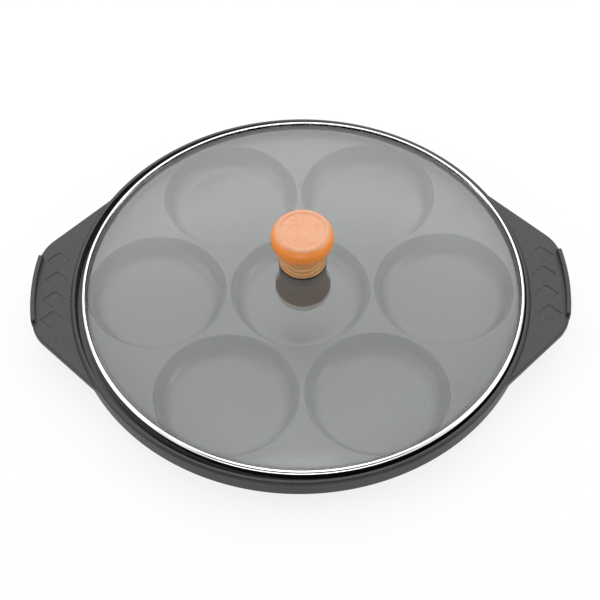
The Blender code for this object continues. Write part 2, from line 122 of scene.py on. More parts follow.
pan_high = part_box("pan")[1]
BODY_RADIUS = pan_high.y
EAR_END = pan_high.x - LIP_PROUD
LIP_TOP = pan_high.z
PLATE_TOP = CUP_FLOOR + WELL_DEPTH
PLATE_UNDER = PLATE_TOP - PLATE
RIM_TOP = PLATE_TOP + RIM_HEIGHT
WELL_PITCH = 2 * WELL_RADIUS + WELL_LAND
SEAT_RADIUS = WELL_PITCH + WELL_RADIUS + SEAT_MARGIN
RIM_INNER = SEAT_RADIUS + RIM_LEAN
EAR_TOP = RIM_TOP - EAR_DROP
EAR_UNDER = EAR_TOP - EAR_THICKNESS


def arc(centre, radius, start, end, steps):
    """Points along an arc in degrees, both ends included."""
    angles = [math.radians(start + (end - start) * i / steps) for i in range(steps + 1)]
    return [(centre[0] + radius * math.cos(a), centre[1] + radius * math.sin(a)) for a in angles]


def turned(name, profile, facets, ring=False, centre=(0, 0)):
    """A mesh turned round an upright axis from (radius, height) points."""
    bm = bmesh.new()
    verts = [bm.verts.new((centre[0] + radius, centre[1], height)) for radius, height in profile]
    edges = [bm.edges.new(pair) for pair in zip(verts, verts[1:])]
    if ring:
        edges.append(bm.edges.new((verts[-1], verts[0])))
    bmesh.ops.spin(
        bm,
        geom=verts + edges,
        cent=(*centre, 0),
        axis=(0, 0, 1),
        angle=math.tau,
        steps=facets,
        use_merge=True,
    )
    bmesh.ops.remove_doubles(bm, verts=bm.verts, dist=0.001 * MM)
    bmesh.ops.recalc_face_normals(bm, faces=bm.faces)
    mesh = bpy.data.meshes.new(name)
    bm.to_mesh(mesh)
    bm.free()
    return mesh


def extruded(name, outline, low, high, rounding, steps, top_only=False):
    """A mesh from an outline seen from above, between two heights, with its long edges rounded."""
    bm = bmesh.new()
    base = bm.faces.new([bm.verts.new((x, y, low)) for x, y in outline])
    grown = bmesh.ops.extrude_face_region(bm, geom=[base])
    risen = [item for item in grown["geom"] if isinstance(item, bmesh.types.BMVert)]
    bmesh.ops.translate(bm, verts=risen, vec=(0, 0, high - low))
    bmesh.ops.recalc_face_normals(bm, faces=bm.faces)
    middle = (low + high) / 2
    level = [edge for edge in bm.edges if (edge.verts[0].co.z > middle) == (edge.verts[1].co.z > middle)]
    if top_only:
        level = [edge for edge in level if edge.verts[0].co.z > middle]
    bmesh.ops.bevel(
        bm,
        geom=level,
        offset=rounding,
        offset_type="OFFSET",
        segments=steps,
        profile=0.5,
        affect="EDGES",
        clamp_overlap=True,
    )
    mesh = bpy.data.meshes.new(name)
    bm.to_mesh(mesh)
    bm.free()
    return mesh


def mirrored(mesh):
    """The same mesh on the other side of X = 0."""
    twin = mesh.copy()
    twin.transform(Matrix.Scale(-1, 4, (1, 0, 0)))
    twin.flip_normals()
    return twin


def carved(mesh, operation, bodies):
    """The mesh with (mesh, place) bodies joined to it or cut out of it."""
    group = bpy.data.collections.new("carving")
    bpy.context.scene.collection.children.link(group)
    for body, place in bodies:
        tool = bpy.data.objects.new("tool", body)
        tool.location = place
        group.objects.link(tool)
    base = bpy.data.objects.new("base", mesh)
    bpy.context.scene.collection.objects.link(base)
    modifier = base.modifiers.new("carve", "BOOLEAN")
    modifier.operation = operation
    modifier.operand_type = "COLLECTION"
    modifier.collection = group
    modifier.solver = "MANIFOLD"
    bpy.context.view_layer.update()
    view = bpy.context.evaluated_depsgraph_get()
    result = bpy.data.meshes.new_from_object(base.evaluated_get(view))
    for obj in [base, *group.objects]:
        bpy.data.objects.remove(obj)
    bpy.data.collections.remove(group)
    return result


def add_piece(name, mesh, material, body, node, sharp=35):
    """A visible piece that stands for a CAD node: smooth, but for edges over an angle in degrees."""
    mesh.shade_smooth()
    mesh.set_sharp_from_angle(angle=math.radians(sharp))
    mesh.materials.clear()
    mesh.materials.append(material)
    piece = bpy.data.objects.new(name, mesh)
    bpy.context.scene.collection.objects.link(piece)
    piece.modifiers.new("even_faces", "WEIGHTED_NORMAL").keep_sharp = True
    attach(piece, body)
    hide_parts(node)


def well_wall(height):
    """Radius of a well's straight wall at a height above its floor."""
    return WELL_RADIUS - (WELL_DEPTH - WELL_MOUTH_ROUND / 2 - height) / math.tan(WELL_LEAN)


def well_cutter():
    """Section of the tool that sinks a well: mouth round, leaning wall, fillet and flat floor."""
    lean = math.degrees(WELL_LEAN)
    foot = WELL_FILLET * (1 - math.cos(WELL_LEAN))
    fillet_centre = (well_wall(foot) - WELL_FILLET * math.sin(WELL_LEAN), CUP_FLOOR + WELL_FILLET)
    half_turn = WELL_MOUTH_ROUND * math.tan(WELL_LEAN / 2)
    mouth = WELL_RADIUS + WELL_MOUTH_ROUND / 2 / math.tan(WELL_LEAN) + half_turn
    mouth_centre = (mouth, PLATE_TOP - WELL_MOUTH_ROUND)
    return [
        (0, RIM_TOP),
        (mouth, RIM_TOP),
        *arc(mouth_centre, WELL_MOUTH_ROUND, 90, 90 + lean, MOUTH_STEPS),
        *arc(fillet_centre, WELL_FILLET, lean - 90, -90, FILLET_STEPS),
        (0, CUP_FLOOR),
    ]


def cup_outside():
    """Section of a cup's outside, from inside the plate down to its flat bottom."""
    wall = CUP_WALL / math.sin(WELL_LEAN)
    top = PLATE_TOP - PLATE / 2
    rise = CUP_ROUND * (1 - math.cos(WELL_LEAN))
    centre = (well_wall(rise - CUP_FLOOR) + wall - CUP_ROUND * math.sin(WELL_LEAN), CUP_ROUND)
    return [
        (0, top),
        (well_wall(top - CUP_FLOOR) + wall, top),
        *arc(centre, CUP_ROUND, math.degrees(WELL_LEAN) - 90, -90, CUP_STEPS),
        (0, 0),
    ]


def ear_outline():
    """Right ear: bowed end, round corners, and straight slanting sides that run into the body."""
    root = Vector((math.sqrt(BODY_RADIUS**2 - (EAR_ROOT_WIDTH / 2) ** 2), EAR_ROOT_WIDTH / 2))
    normal = Vector((math.cos(EAR_SIDE_ANGLE), math.sin(EAR_SIDE_ANGLE)))
    tangent = Vector((normal.y, -normal.x))
    end_centre = Vector((EAR_END - EAR_END_RADIUS, 0))
    along = normal.dot(root - end_centre) - EAR_CORNER_RADIUS
    across = math.sqrt((EAR_END_RADIUS - EAR_CORNER_RADIUS) ** 2 - along**2)
    corner = end_centre + normal * along + tangent * across
    spread = math.degrees(math.atan2(corner.y, corner.x - end_centre.x))
    upper = [
        *arc(end_centre, EAR_END_RADIUS, 0, spread, EAR_END_STEPS),
        *arc(corner, EAR_CORNER_RADIUS, spread, math.degrees(EAR_SIDE_ANGLE), EAR_CORNER_STEPS)[1:],
        tuple(root - tangent * (BODY_RADIUS - SEAT_RADIUS)),
    ]
    return [(x, -y) for x, y in reversed(upper[1:])] + upper


def lip_outline():
    """The lip along the right ear's end."""
    end_centre = (EAR_END - EAR_END_RADIUS, 0)
    spread = math.degrees(math.asin(LIP_LENGTH / 2 / EAR_END_RADIUS))
    outer = arc(end_centre, EAR_END_RADIUS + LIP_PROUD, -spread, spread, LIP_STEPS)
    inner = arc(end_centre, EAR_END_RADIUS - LIP_WIDTH, spread, -spread, LIP_STEPS)
    return outer + inner


def diamond_cutter():
    """A sunk diamond with walls that lean in towards its flat bottom."""
    bm = bmesh.new()
    rings = []
    for height, grow in ((-DIAMOND_DEPTH, -DIAMOND_LEAN), (DIAMOND_DEPTH, DIAMOND_LEAN)):
        across = DIAMOND_WIDTH / 2 + grow
        along = DIAMOND_HEIGHT / 2 + grow
        corners = ((across, 0), (0, along), (-across, 0), (0, -along))
        rings.append([bm.verts.new((x, y, height)) for x, y in corners])
    edges = [bm.edges.new((ring[i], ring[(i + 1) % 4])) for ring in rings for i in range(4)]
    bmesh.ops.bridge_loops(bm, edges=edges)
    for ring in rings:
        bm.faces.new(ring)
    bmesh.ops.recalc_face_normals(bm, faces=bm.faces)
    mesh = bpy.data.meshes.new("diamond")
    bm.to_mesh(mesh)
    bm.free()
    return mesh


well_places = [(0, 0, 0)]
for i in range(RING_WELLS):
    turn = math.tau * i / RING_WELLS
    well_places.append((WELL_PITCH * math.cos(turn), WELL_PITCH * math.sin(turn), 0))

rim_centre = (BODY_RADIUS - RIM_ROUND, RIM_TOP - RIM_ROUND)
foot_centre = (BODY_RADIUS - FOOT_ROUND, PLATE_UNDER + FOOT_ROUND)
blank = [
    (0, RIM_TOP),
    *reversed(arc(rim_centre, RIM_ROUND, 0, 90, RIM_STEPS)),
    *arc(foot_centre, FOOT_ROUND, 0, -90, FOOT_STEPS),
    (0, PLATE_UNDER),
]
seat_lean = math.degrees(math.atan2(RIM_HEIGHT, RIM_LEAN))
rim_inner_centre = (RIM_INNER + RIM_INNER_ROUND, RIM_TOP - RIM_INNER_ROUND)
seat_centre = (SEAT_RADIUS - SEAT_FILLET, PLATE_TOP + SEAT_FILLET)
cavity = [
    (0, RIM_TOP + RIM_HEIGHT),
    (RIM_INNER + RIM_INNER_ROUND, RIM_TOP + RIM_HEIGHT),
    *arc(rim_inner_centre, RIM_INNER_ROUND, 90, 180, RIM_INNER_STEPS),
    *reversed(arc(seat_centre, SEAT_FILLET, -90, 90 - seat_lean, SEAT_STEPS)),
    (0, PLATE_TOP),
]
ear = extruded("ear", ear_outline(), EAR_UNDER, EAR_TOP, EAR_ROUND, EAR_ROUND_STEPS)
lip_under = EAR_UNDER + EAR_THICKNESS / 3
lip = extruded("lip", lip_outline(), lip_under, LIP_TOP, LIP_ROUND, LIP_ROUND_STEPS, top_only=True)
cup = turned("cup", cup_outside(), CUP_FACETS)
well = turned("well", well_cutter(), WELL_FACETS)
diamond = diamond_cutter()
diamond_x = EAR_END - DIAMOND_INSET
diamond_rows = [(i - (DIAMONDS - 1) / 2) * DIAMOND_PITCH for i in range(DIAMONDS)]

pan_mesh = turned("pan_casting", blank, BODY_FACETS)
cups_and_ears = [(cup, place) for place in well_places] + [(ear, (0, 0, 0)), (mirrored(ear), (0, 0, 0))]
pan_mesh = carved(pan_mesh, "UNION", cups_and_ears)
pan_mesh = carved(pan_mesh, "UNION", [(lip, (0, 0, 0)), (mirrored(lip), (0, 0, 0))])
hollows = [(well, place) for place in well_places]
hollows.append((turned("cavity", cavity, BODY_FACETS), (0, 0, 0)))
hollows += [(diamond, (side * diamond_x, y, EAR_TOP)) for side in (-1, 1) for y in diamond_rows]
pan_mesh = carved(pan_mesh, "DIFFERENCE", hollows)


class Wire:
    """A shader socket that takes part in Python arithmetic, and from which further nodes are added."""

    def __init__(self, socket):
        self.socket = socket

    def node(self, kind, settings=None, inputs=None, output=0):
        """A new node in this wire's tree, with its settings, then the values or wires of its sockets."""
        made = self.socket.id_data.nodes.new(kind)
        for name, value in (settings or {}).items():
            if name == "stops":
                ramp = made.color_ramp.elements
                while len(ramp) < len(value):
                    ramp.new(1)
                for element, (position, level) in zip(ramp, value):
                    element.position = position
                    element.color = (level, level, level, 1)
            else:
                setattr(made, name, value)
        for name, value in (inputs or {}).items():
            feed(made.inputs[name], value)
        return Wire(made.outputs[output])

    def maths(self, operation, first, second):
        """A maths node on two wires or values. Some operations take only the first."""
        return self.node("ShaderNodeMath", {"operation": operation}, {0: first, 1: second})

    def __add__(self, other):
        return self.maths("ADD", self, other)

    def __sub__(self, other):
        return self.maths("SUBTRACT", self, other)

    def __rsub__(self, other):
        return self.maths("SUBTRACT", other, self)

    def __mul__(self, other):
        return self.maths("MULTIPLY", self, other)

    def __truediv__(self, other):
        return self.maths("DIVIDE", self, other)

    def __rtruediv__(self, other):
        return self.maths("DIVIDE", other, self)

    __radd__ = __add__
    __rmul__ = __mul__

    def between(self, low, high):
        """A colour that goes from low to high as this wire goes from 0 to 1."""
        low, high = ((*end, 1) if isinstance(end, tuple) else end for end in (low, high))
        return self.node("ShaderNodeMix", {"data_type": "RGBA"}, {0: self, 6: low, 7: high}, output=2)

    def steps(self, *stops):
        """A ramp through (position, level) stops."""
        return self.node("ShaderNodeValToRGB", {"stops": stops}, {0: self})

    def noise(self, scale, detail=3.0, roughness=0.5):
        """Noise at this place, with about scale marks to the metre."""
        levels = {"Scale": scale, "Detail": detail, "Roughness": roughness}
        return self.node("ShaderNodeTexNoise", {}, {"Vector": self, **levels})

    def stretched(self, *scale):
        """This place with each axis scaled."""
        return self.node("ShaderNodeVectorMath", {"operation": "MULTIPLY"}, {0: self, 1: scale})


def feed(socket, value):
    """Links a wire to a socket, or sets the socket to a plain value."""
    if isinstance(value, Wire):
        socket.id_data.links.new(value.socket, socket)
    else:
        socket.default_value = value


def new_finish(name, **plain):
    """A material with plain values on its main shader, that shader's sockets, and a wire of places."""
    material = bpy.data.materials.new(name)
    material.use_nodes = True
    nodes = material.node_tree.nodes
    sockets = nodes["Principled BSDF"].inputs
    for socket, value in plain.items():
        sockets[socket.replace("_", " ")].default_value = value
    return material, sockets, Wire(nodes.new("ShaderNodeTexCoord").outputs["Object"])


def bump(sockets, height, depth):
    """Feeds Normal from a height wire that is worth depth metres at 1."""
    normal = height.node("ShaderNodeBump", {}, {"Strength": 1.0, "Distance": depth, "Height": height})
    feed(sockets["Normal"], normal)


def edge_mask(place, radius):
    """Over 0 on outer and inner edges, 0 on flat faces, from how far rounding would turn the surface."""
    rounded = place.node("ShaderNodeBevel", {"samples": 4}, {"Radius": radius})
    straight = place.node("ShaderNodeNewGeometry", output=1)
    pair = {0: rounded, 1: straight}
    return 1 - place.node("ShaderNodeVectorMath", {"operation": "DOT_PRODUCT"}, pair, output=1)


def from_axis(place, point, across=(1, 1, 0)):
    """Distance from an axis through a point, as a wire. The axis runs where across is 0."""
    offset = place.node("ShaderNodeVectorMath", {"operation": "SUBTRACT"}, {0: place, 1: point})
    flat = offset.stretched(*across)
    return flat.node("ShaderNodeVectorMath", {"operation": "LENGTH"}, {0: flat}, output=1)


def turned_lines(place, centre, scale):
    """Fine lines that run round an upright axis, as a lathe or a roller leaves them."""
    height = place.node("ShaderNodeSeparateXYZ", inputs={0: place}, output=2)
    across = place.node("ShaderNodeCombineXYZ", inputs={0: from_axis(place, (*centre, 0)), 1: height})
    return across.noise(scale, detail=3, roughness=0.7)


COAT_COLOUR = (0.009, 0.009, 0.008)
COAT_LIGHT = (0.034, 0.034, 0.0305)
COAT_DRAWN = (0.048, 0.048, 0.042)
COAT_WORN = (0.060, 0.059, 0.056)
COAT_ROUGHNESS = 0.40
SMOOTHER_INSIDE = 0.14
COAT_TEXTURE = 0.05 * MM
WORN_EDGE = 0.7 * MM

# Marks per metre
MOTTLE_SCALE = 60
SPRAY_SCALE = 700
GRAIN_SCALE = 1300
RUB_SCALE = 140
SCORE_SCALE = 650
SCORED_PATCH_SCALE = 45

coat, sockets, place = new_finish("non_stick_coat", IOR=1.5, Specular_IOR_Level=0.34)
mottle = place.noise(MOTTLE_SCALE, detail=5, roughness=0.6).steps((0.35, 0), (0.65, 1))
grain = place.noise(GRAIN_SCALE, detail=4, roughness=0.65)
spray = place.noise(SPRAY_SCALE, detail=2)
rubbed = place.noise(RUB_SCALE, detail=4).steps((0.42, 0), (0.6, 1))
wear = (edge_mask(place, WORN_EDGE) * 3).steps((0.15, 0), (0.9, 1)) * rubbed
facing = place.node("ShaderNodeNewGeometry", output=1)
facing_up = place.node("ShaderNodeSeparateXYZ", inputs={0: facing}, output=2)
walls = facing_up.maths("ABSOLUTE", facing_up, 0).steps((0.1, 1), (0.5, 0))
scores = turned_lines(place, (0, 0), SCORE_SCALE).steps((0.42, 0), (0.66, 1))
drawn = walls * scores * place.noise(SCORED_PATCH_SCALE).steps((0.3, 0.3), (0.6, 1))

# The ramp's own table is coarse at this scale, so the finish changes across the whole top of the rim
inside_rim = from_axis(place, (0, 0, 0)).steps((RIM_INNER, 1), (RIM_INNER + MM, 0))
within = inside_rim * facing_up.steps((0, 0), (0.1, 1))
droplets = spray.steps((0.42, 0), (0.6, 1)) * 0.4 + grain.steps((0.42, 0), (0.6, 1)) * 0.35
speckle = (mottle * 0.25 + droplets) * (0.8 - within * 0.5)
shade = drawn.between(speckle.between(COAT_COLOUR, COAT_LIGHT), COAT_DRAWN)
feed(sockets["Base Color"], wear.between(shade, COAT_WORN))
uneven = mottle * 0.04 + grain * 0.05 - wear * 0.06
feed(sockets["Roughness"], COAT_ROUGHNESS - within * SMOOTHER_INSIDE + uneven)
bump(sockets, (spray * 0.5 + grain * 0.5) * (1 - within * 0.65), COAT_TEXTURE)
add_piece("pan_casting", pan_mesh, coat, "pan", "pan")


# Lid glass
# A disc of clear tempered glass, 4 mm thick, sagged to a shallow dome, with ground edges and a hole in the
# middle for the knob's screw.

GLASS_THICKNESS = 4.0 * MM
GLASS_RISE = 18.1 * MM
GLASS_EDGE_ROUND = 0.8 * MM
GLASS_HOLE = 4.0 * MM
BAND_SHEET = 0.5 * MM
BAND_FLANGE = 1.8 * MM
FIT_GAP = 0.3 * MM
GLASS_FACETS = 192
DOME_STEPS = 28
GLASS_SHEEN = (0.965, 1.0, 0.995)
GLASS_DEEP = (0.975, 0.99, 0.983)
GLASS_PALE = (0.985, 0.995, 0.99)
GLASS_WAVE_SCALE = 22
GLASS_WAVE = 0.006 * MM

band_low, band_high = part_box("lid_band")
LID_CENTRE = ((band_low.x + band_high.x) / 2, 0)
BAND_RADIUS = (band_high.x - band_low.x) / 2
BAND_UNDER = band_low.z
BAND_TOP = band_high.z
FLANGE_RADIUS = BAND_RADIUS - BAND_FLANGE
GLASS_RADIUS = BAND_RADIUS - BAND_SHEET - FIT_GAP
GLASS_EDGE_TOP = BAND_TOP - BAND_SHEET - FIT_GAP
DOME_RADIUS = (FLANGE_RADIUS**2 + GLASS_RISE**2) / (2 * GLASS_RISE)
DOME_CENTRE = GLASS_EDGE_TOP + GLASS_RISE - DOME_RADIUS


def dome_height(radius, depth=0.0):
    """Height of the dome's outer face at a radius, or of a face at a depth inside the glass."""
    return DOME_CENTRE + math.sqrt((DOME_RADIUS - depth) ** 2 - radius**2)


def dome_points(inner, outer, depth=0.0):
    """Points of the dome's section between two radii, at a depth inside the glass."""
    radii = [inner + (outer - inner) * i / DOME_STEPS for i in range(DOME_STEPS + 1)]
    return [(radius, dome_height(radius, depth)) for radius in radii]


glass_edge = GLASS_RADIUS - GLASS_EDGE_ROUND
glass_profile = [
    *dome_points(GLASS_HOLE, glass_edge),
    (GLASS_RADIUS, dome_height(GLASS_RADIUS) - GLASS_EDGE_ROUND),
    (GLASS_RADIUS, dome_height(GLASS_RADIUS, GLASS_THICKNESS) + GLASS_EDGE_ROUND),
    *reversed(dome_points(GLASS_HOLE, glass_edge, GLASS_THICKNESS)),
]
glass_mesh = turned("lid_dome", glass_profile, GLASS_FACETS, ring=True, centre=LID_CENTRE)

glass, sockets, place = new_finish(
    "tempered_glass", IOR=1.5, Transmission_Weight=1.0, Roughness=0.0, Specular_Tint=(*GLASS_SHEEN, 1)
)
feed(sockets["Base Color"], place.noise(9, detail=2).between(GLASS_DEEP, GLASS_PALE))
bump(sockets, place.noise(GLASS_WAVE_SCALE, detail=1), GLASS_WAVE)
add_piece("lid_dome", glass_mesh, glass, "lid", "lid_glass", sharp=50)


# Lid band
# A strip of polished stainless steel rolled round the glass: a flange over its edge, an outer wall with a
# rounded shoulder, and a hem turned in below that holds the glass from underneath.

BAND_ROUND = 1.6 * MM
BAND_HEM_ROUND = 0.6 * MM
BAND_FACETS = 256
BAND_LIP_STEPS = 4
BAND_ROUND_STEPS = 10
BAND_HEM_STEPS = 6
STEEL_BRIGHT = (0.80, 0.80, 0.79)
STEEL_HAZY = (0.74, 0.74, 0.73)
HAZE_SCALE = 45
ROLLED_LINE_SCALE = 5000
ROLLED_LINE_DEPTH = 0.002 * MM

band_wall = BAND_RADIUS - BAND_SHEET
flange_under = BAND_TOP - BAND_SHEET
flange_lip = BAND_SHEET / 2
lip_centre = (FLANGE_RADIUS + flange_lip, BAND_TOP - flange_lip)
shoulder_centre = (BAND_RADIUS - BAND_ROUND, BAND_TOP - BAND_ROUND)
hem_outer_centre = (BAND_RADIUS - BAND_HEM_ROUND, BAND_UNDER + BAND_HEM_ROUND)
hem_inner_centre = (FLANGE_RADIUS + BAND_HEM_ROUND, BAND_UNDER + BAND_HEM_ROUND)
band_profile = [
    (FLANGE_RADIUS, flange_under),
    *reversed(arc(lip_centre, flange_lip, 90, 180, BAND_LIP_STEPS)),
    *reversed(arc(shoulder_centre, BAND_ROUND, 0, 90, BAND_ROUND_STEPS)),
    *arc(hem_outer_centre, BAND_HEM_ROUND, 0, -90, BAND_HEM_STEPS),
    *arc(hem_inner_centre, BAND_HEM_ROUND, -90, -180, BAND_HEM_STEPS),
    (FLANGE_RADIUS, dome_height(FLANGE_RADIUS, GLASS_THICKNESS) - FIT_GAP),
    (band_wall, dome_height(band_wall, GLASS_THICKNESS) - FIT_GAP),
    (band_wall, flange_under - BAND_SHEET),
    (band_wall - BAND_SHEET, flange_under),
]
band_mesh = turned("lid_rim_band", band_profile, BAND_FACETS, ring=True, centre=LID_CENTRE)

polished, sockets, place = new_finish("polished_steel", Metallic=1.0)
lines = turned_lines(place, LID_CENTRE, ROLLED_LINE_SCALE)
haze = place.noise(HAZE_SCALE, detail=4).steps((0.4, 0), (0.7, 1))
feed(sockets["Base Color"], haze.between(STEEL_BRIGHT, STEEL_HAZY))
feed(sockets["Roughness"], 0.04 + lines * 0.04 + haze * 0.03)
bump(sockets, lines, ROLLED_LINE_DEPTH)
add_piece("lid_rim_band", band_mesh, polished, "lid", "lid_band")


# Knob
# Turned from one piece of beech and oiled: a waisted foot, a rounded head, and a face that is slightly
# dished inside a fine step. It is bored from below for the threaded bush. Its face and rim are painted
# paler, as a painted sheen of the overhead light, and its pale foot is painted paler still, as painted
# light on its sides.

KNOB_BASE_RADIUS = 12.65 * MM
KNOB_BASE_HEIGHT = 1.6 * MM
KNOB_BASE_ROUND = 0.5 * MM
KNOB_NECK_RADIUS = 12.1 * MM
KNOB_NECK_HEIGHT = 9.0 * MM
KNOB_HEAD_HEIGHT = 18.4 * MM
KNOB_SWELL_POWER = 1.2
KNOB_RIM_RADIUS = 12.8 * MM
KNOB_FACE_DISH = 0.3 * MM
KNOB_FACE_STEP = (0.3, 0.03), (0.6, 0.15), (1.0, 0.4), (1.3, 0.48), (2.0, 0.5)
KNOB_BORE_RADIUS = 4.6 * MM
KNOB_BORE_DEPTH = 14.0 * MM
KNOB_FACETS = 128
KNOB_BASE_STEPS = 4
KNOB_SWELL_STEPS = 18
KNOB_CROWN_STEPS = 20

knob_low, knob_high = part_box("knob")
KNOB_HEIGHT = knob_high.z - knob_low.z
KNOB_HEAD_RADIUS = (knob_high.x - knob_low.x) / 2


def knob_profile():
    """Section of the knob from its bore round its foot, neck, head and crown to the middle of its face. The
    step inside the rim is given as (inset, drop) in millimetres."""
    overhang = KNOB_HEAD_RADIUS - KNOB_NECK_RADIUS
    head_rise = KNOB_HEAD_HEIGHT - KNOB_NECK_HEIGHT
    swell = []
    for i in range(1, KNOB_SWELL_STEPS + 1):
        t = i / KNOB_SWELL_STEPS
        radius = KNOB_NECK_RADIUS + overhang * math.sin(t * math.pi / 2) ** KNOB_SWELL_POWER
        swell.append((radius, KNOB_NECK_HEIGHT + head_rise * t))
    crown_inset = KNOB_HEAD_RADIUS - KNOB_RIM_RADIUS
    crown_height = KNOB_HEIGHT - KNOB_HEAD_HEIGHT
    crown = []
    for i in range(1, KNOB_CROWN_STEPS + 1):
        turn = math.pi / 2 * i / KNOB_CROWN_STEPS
        radius = KNOB_RIM_RADIUS + crown_inset * math.cos(turn)
        crown.append((radius, KNOB_HEAD_HEIGHT + crown_height * math.sin(turn)))
    base_centre = (KNOB_BASE_RADIUS - KNOB_BASE_ROUND, KNOB_BASE_ROUND)
    profile = [
        (0, KNOB_BORE_DEPTH),
        (KNOB_BORE_RADIUS, KNOB_BORE_DEPTH),
        (KNOB_BORE_RADIUS, 0),
        *arc(base_centre, KNOB_BASE_ROUND, -90, 0, KNOB_BASE_STEPS),
        (KNOB_BASE_RADIUS, KNOB_BASE_HEIGHT),
        (KNOB_NECK_RADIUS, KNOB_NECK_HEIGHT),
        *swell,
        *crown,
        *((KNOB_RIM_RADIUS - inset * MM, KNOB_HEIGHT - drop * MM) for inset, drop in KNOB_FACE_STEP),
        (0, KNOB_HEIGHT - KNOB_FACE_DISH),
    ]
    return [(radius, height + knob_low.z) for radius, height in profile]


knob_mesh = turned("turned_knob", knob_profile(), KNOB_FACETS, centre=LID_CENTRE)

WOOD_LIGHT = (0.90, 0.305, 0.044)
WOOD_DARK = (0.82, 0.22, 0.027)
# Painted sheen: the face and rim are painted paler and less orange than the head, for the overhead light on
# them
SHEEN_PAINTED_LIGHT = (0.675, 0.34, 0.188)
SHEEN_PAINTED_DARK = (0.64, 0.30, 0.172)
# Painted light: the foot is pale wood, painted paler still in place of light on the neck's sides
FOOT_PALE_AND_LIT = (0.88, 0.52, 0.26)
FOOT_DARK = (0.58, 0.27, 0.10)
WOOD_PORE = (0.38, 0.12, 0.035)
TREE_HEART = (0, 0.012, -0.02)
RING_WIDTH = 2.6 * MM
RING_SWAY = 2.0
GROWTH_RING = (0.0, 0), (0.35, 0.4), (0.6, 1), (0.8, 0.6), (1.0, 0)
WOOD_RELIEF = 0.03 * MM

# How much of the head's wood and of the painted sheen on the face and rim show, by share of the knob's
# height
HEAD_WOOD = (0.35, 0), (0.485, 0.6), (0.65, 0.6), (0.805, 1)
PAINTED_SHEEN_SHARE = (0.925, 0), (0.96, 0.45), (0.98, 1)

# Marks per metre, and their scale along each axis, which under 1 draws them out along the grain
SWAY_SCALE = 80
FIBRE_SCALE = 2400
PORE_SCALE = 3400
PATCH_SCALE = 70
TOOL_MARK_SCALE = 1500
SWAY_DRAWN = (0.5, 1, 1)
FIBRE_DRAWN = (0.08, 1, 1)
PORE_DRAWN = (0.12, 1, 1)

beech, sockets, place = new_finish(
    "oiled_beech", IOR=1.5, Specular_IOR_Level=0.1, Coat_Weight=0.4, Coat_Roughness=0.2
)
sway = place.stretched(*SWAY_DRAWN).noise(SWAY_SCALE, detail=3)
rings = from_axis(place, TREE_HEART, across=(0, 1, 1)) / RING_WIDTH + sway * RING_SWAY
growth = rings.maths("FRACT", rings, 0).steps(*GROWTH_RING)
fibre = place.stretched(*FIBRE_DRAWN).noise(FIBRE_SCALE, detail=4, roughness=0.6)
pores = place.stretched(*PORE_DRAWN).noise(PORE_SCALE, detail=2).steps((0.58, 0), (0.68, 1))
patch = place.noise(PATCH_SCALE, detail=3).steps((0.3, 0), (0.7, 1))
tone = growth * 0.5 + fibre * 0.25 + patch * 0.3
climb = (place.node("ShaderNodeSeparateXYZ", inputs={0: place}, output=2) - knob_low.z) / KNOB_HEIGHT
# The foot's pale wood, with painted light on it
foot_wood_and_lit = (growth * 0.9 + fibre * 0.3).between(FOOT_PALE_AND_LIT, FOOT_DARK)
wood_and_painted_light = climb.steps(*HEAD_WOOD).between(foot_wood_and_lit, tone.between(WOOD_LIGHT, WOOD_DARK))
# Painted sheen over the face and the rim round it
wood_and_painted_light = climb.steps(*PAINTED_SHEEN_SHARE).between(wood_and_painted_light, tone.between(SHEEN_PAINTED_LIGHT, SHEEN_PAINTED_DARK))
feed(sockets["Base Color"], (pores * 0.6).between(wood_and_painted_light, WOOD_PORE))
feed(sockets["Roughness"], 0.34 + fibre * 0.12 + pores * 0.15)
tool_marks = turned_lines(place, LID_CENTRE, TOOL_MARK_SCALE)
bump(sockets, fibre * 0.5 + tool_marks * 0.5 - pores * 0.8, WOOD_RELIEF)
add_piece("turned_knob", knob_mesh, beech, "lid", "knob")


# Knob fixing
# A brass bush pressed into the knob, a soft washer between wood and glass, a soft grommet in the glass, and
# a steel washer and screw from below. They stay as the frame has them, with their own finishes.

SILICONE_COLOUR = (0.012, 0.012, 0.013)
SILICONE_DUST = (0.022, 0.022, 0.022)
DUST_SCALE = 900
DUST_DEPTH = 0.01 * MM
PLAIN_STEEL_DARK = (0.60, 0.60, 0.59)
PLAIN_STEEL_LIGHT = (0.70, 0.70, 0.69)
BRASS_DARK = (0.66, 0.45, 0.16)
BRASS_LIGHT = (0.78, 0.56, 0.24)


def turned_metal(name, dark, light, line_scale, roughness, depth):
    """A bare metal with the fine lines of a lathe."""
    metal, sockets, place = new_finish(name, Metallic=1.0)
    scuff = turned_lines(place, LID_CENTRE, line_scale)
    feed(sockets["Base Color"], scuff.between(dark, light))
    feed(sockets["Roughness"], roughness + scuff * 0.16)
    bump(sockets, scuff, depth)
    return metal


silicone, sockets, place = new_finish("black_silicone", IOR=1.41)
dust = place.noise(DUST_SCALE, detail=4).steps((0.5, 0), (0.75, 1))
feed(sockets["Base Color"], dust.between(SILICONE_COLOUR, SILICONE_DUST))
feed(sockets["Roughness"], 0.5 + dust * 0.15)
bump(sockets, dust, DUST_DEPTH)
plain_steel = turned_metal(
    "plain_steel", PLAIN_STEEL_DARK, PLAIN_STEEL_LIGHT, line_scale=2500, roughness=0.24, depth=0.004 * MM
)
brass = turned_metal(
    "turned_brass", BRASS_DARK, BRASS_LIGHT, line_scale=2200, roughness=0.22, depth=0.005 * MM
)

fixings = {
    "knob_insert": brass,
    "knob_washer": silicone,
    "lid_grommet": silicone,
    "screw_washer": plain_steel,
    "knob_screw": plain_steel,
}
for node, finish in fixings.items():
    frame["nodes"][node].data.materials.clear()
    frame["nodes"][node].data.materials.append(finish)


